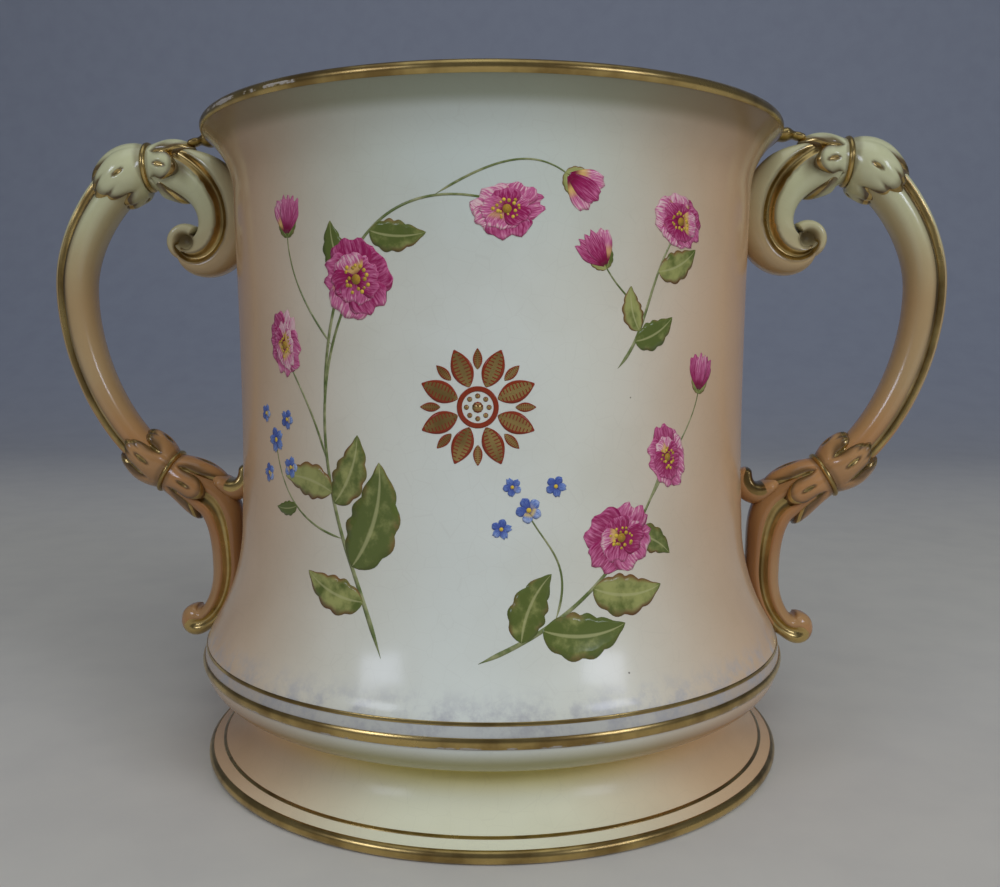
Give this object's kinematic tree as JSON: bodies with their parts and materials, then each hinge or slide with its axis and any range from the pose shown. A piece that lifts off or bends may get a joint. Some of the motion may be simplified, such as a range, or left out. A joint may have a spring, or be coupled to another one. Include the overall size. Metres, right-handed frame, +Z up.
{
  "type": "loving cup",
  "caption": "Porcelain loving cup: flared lip, straight wall with a flange, spreading foot, scrolled handles with leaf knops, gilt bands and painted flowers, for toasts or display.",
  "frame": {"origin": "centre of the standing face of the foot, at the table", "axes": "+Z up along the cup's axis, +X towards the right handle, -Y towards the pictured front"},
  "size_m": [0.244, 0.158, 0.1668],
  "materials": {
    "ivory_glaze": "satin ivory glaze with a blush at the sides",
    "blush_glaze": "satin blush glaze, darker in the hollows",
    "pale_glaze": "satin pale green-cream glaze",
    "gilt_porcelain": "porcelain under worn fired gold",
    "gilding": "worn fired gold"
  },
  "bodies": {
    "root": {"cup_body": "ivory_glaze", "foot": "ivory_glaze", "rim_gilding": "gilding", "flange_gilt_line": "gilding", "flange_gilt_band": "gilding", "foot_gilt_line": "gilding", "foot_gilt_band": "gilding", "left_rim_lug": "gilt_porcelain", "left_upper_scroll": "pale_glaze", "left_upper_inner_knop": "pale_glaze", "left_upper_ring": "gilt_porcelain", "left_upper_outer_knop": "pale_glaze", "left_bow": "blush_glaze", "left_bow_rib": "pale_glaze", "left_lower_outer_knop": "blush_glaze", "left_lower_ring": "gilt_porcelain", "left_lower_inner_knop": "blush_glaze", "left_lower_scroll": "blush_glaze", "left_lower_hook": "blush_glaze", "right_rim_lug": "gilt_porcelain", "right_upper_scroll": "pale_glaze", "right_upper_inner_knop": "pale_glaze", "right_upper_ring": "gilt_porcelain", "right_upper_outer_knop": "pale_glaze", "right_bow": "blush_glaze", "right_bow_rib": "pale_glaze", "right_lower_outer_knop": "blush_glaze", "right_lower_ring": "gilt_porcelain", "right_lower_inner_knop": "blush_glaze", "right_lower_scroll": "blush_glaze", "right_lower_hook": "blush_glaze"}
  },
  "joints": []
}
